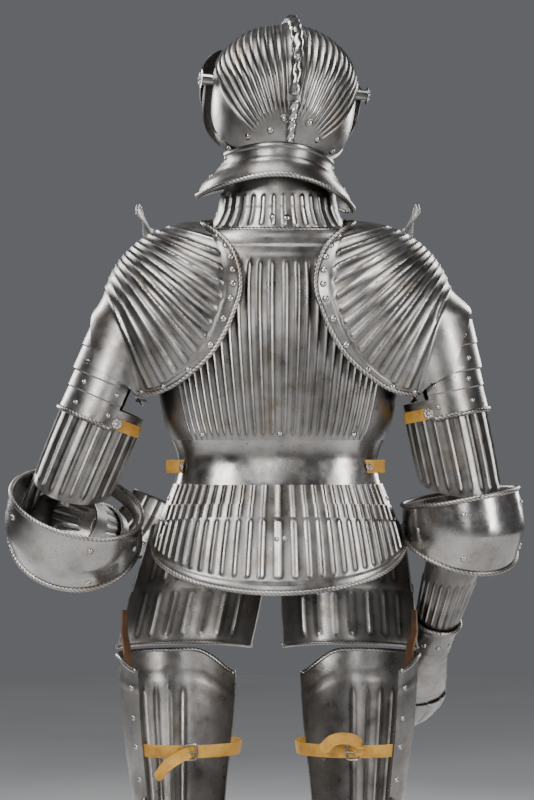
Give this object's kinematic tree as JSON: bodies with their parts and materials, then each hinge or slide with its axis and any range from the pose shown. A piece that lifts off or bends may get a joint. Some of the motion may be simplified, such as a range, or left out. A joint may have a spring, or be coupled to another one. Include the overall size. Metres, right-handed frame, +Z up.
{
  "type": "suit of plate armour",
  "caption": "Full suit of fluted plate armour, worn pose and hollow, with close helmet, cuirass, arm harness with gauntlets and leg harness.",
  "frame": {"origin": "middle of the wearer's body at the height of the shoulders, where the gorget and the cuirass rest", "axes": "+Z up along the body, the suit faces -Y, and its left side is +X"},
  "size_m": [0.8063, 0.5545, 1.791],
  "materials": {
    "steel": "polished fluted steel, aged to a warm grey",
    "buff_leather": "yellow-brown buff leather",
    "brown_leather": "dark brown leather"
  },
  "bodies": {
    "suit": {"backplate": "steel", "breastplate": "steel", "waist_plate": "steel", "rump_lame_1": "steel", "rump_lame_2": "steel", "rump_lame_3": "steel", "hip_lame_1": "steel", "hip_lame_2": "steel", "tasset_upper_left": "steel", "tasset_lower_left": "steel", "tasset_upper_right": "steel", "tasset_lower_right": "steel", "gorget_collar": "steel", "gorget_back": "steel", "gorget_front": "steel", "shoulder_strap_left": "brown_leather", "shoulder_strap_right": "brown_leather", "skull": "steel", "plume_tube": "steel", "visor_pivot_left": "steel", "visor_pivot_right": "steel", "nape_lame": "steel", "nape_rim": "steel", "pauldron_left": "steel", "neck_guard_left": "steel", "pauldron_right": "steel", "neck_guard_right": "steel", "upper_cannon_left": "steel", "arm_lame_lower_left": "steel", "arm_lame_upper_left": "steel", "arm_strap_left": "buff_leather", "upper_cannon_right": "steel", "arm_lame_lower_right": "steel", "arm_lame_upper_right": "steel", "arm_strap_right": "buff_leather", "cuisse_left": "steel", "leg_strap_left": "buff_leather", "thigh_tab_left": "brown_leather", "cuisse_right": "steel", "leg_strap_right": "buff_leather", "thigh_tab_right": "brown_leather"},
    "chin": {"chin_piece": "steel", "throat_rim": "steel"},
    "visor": {"visor": "steel"},
    "elbow_left": {"couter_left": "steel"},
    "forearm_left": {"lower_cannon_left": "steel", "gauntlet_cuff_left": "steel", "gauntlet_hand_left": "steel", "gauntlet_fingers_left": "steel"},
    "knee_left": {"poleyn_left": "steel"},
    "shin_left": {"greave_left": "steel", "sabaton_left": "steel"},
    "elbow_right": {"couter_right": "steel"},
    "forearm_right": {"lower_cannon_right": "steel", "gauntlet_cuff_right": "steel", "gauntlet_hand_right": "steel", "gauntlet_fingers_right": "steel"},
    "knee_right": {"poleyn_right": "steel"},
    "shin_right": {"greave_right": "steel", "sabaton_right": "steel"}
  },
  "joints": [
    {"name": "chin_hinge", "type": "hinge", "parent": "suit", "child": "chin", "pos_m": [-0.01, 0, 0.24], "axis": [-0.9865, -0.1386, -0.0872], "range_deg": [0, 45]},
    {"name": "visor_hinge", "type": "hinge", "parent": "chin", "child": "visor", "pos_m": [-0.01, 0, 0.24], "axis": [-0.9865, -0.1386, -0.0872], "range_deg": [0, 50]},
    {"name": "elbow_left_bend", "type": "hinge", "parent": "suit", "child": "forearm_left", "pos_m": [0.34, 0.012, -0.43], "axis": [-0.8837, 0.2884, -0.3686], "range_deg": [-60, 0]},
    {"name": "couter_left_follow", "type": "hinge", "parent": "suit", "child": "elbow_left", "pos_m": [0.34, 0.012, -0.43], "axis": [-0.8837, 0.2884, -0.3686], "range_deg": [-31, 1]},
    {"name": "knee_left_bend", "type": "hinge", "parent": "suit", "child": "shin_left", "pos_m": [0.148, 0, -0.96], "axis": [1, 0, 0], "range_deg": [0, 35]},
    {"name": "poleyn_left_follow", "type": "hinge", "parent": "suit", "child": "knee_left", "pos_m": [0.148, 0, -0.96], "axis": [1, 0, 0], "range_deg": [-1, 18.5]},
    {"name": "elbow_right_bend", "type": "hinge", "parent": "suit", "child": "forearm_right", "pos_m": [-0.294, 0.012, -0.43], "axis": [-0.7954, -0.5871, 0.1506], "range_deg": [-18, 2]},
    {"name": "couter_right_follow", "type": "hinge", "parent": "suit", "child": "elbow_right", "pos_m": [-0.294, 0.012, -0.43], "axis": [-0.7954, -0.5871, 0.1506], "range_deg": [-10, 2]},
    {"name": "knee_right_bend", "type": "hinge", "parent": "suit", "child": "shin_right", "pos_m": [-0.118, 0, -0.96], "axis": [1, 0, 0], "range_deg": [0, 35]},
    {"name": "poleyn_right_follow", "type": "hinge", "parent": "suit", "child": "knee_right", "pos_m": [-0.118, 0, -0.96], "axis": [1, 0, 0], "range_deg": [-1, 18.5]}
  ],
  "couplings": [
    {"joint": "couter_left_follow", "follows": "elbow_left_bend", "ratio": 0.5},
    {"joint": "poleyn_left_follow", "follows": "knee_left_bend", "ratio": 0.5},
    {"joint": "couter_right_follow", "follows": "elbow_right_bend", "ratio": 0.5},
    {"joint": "poleyn_right_follow", "follows": "knee_right_bend", "ratio": 0.5}
  ]
}
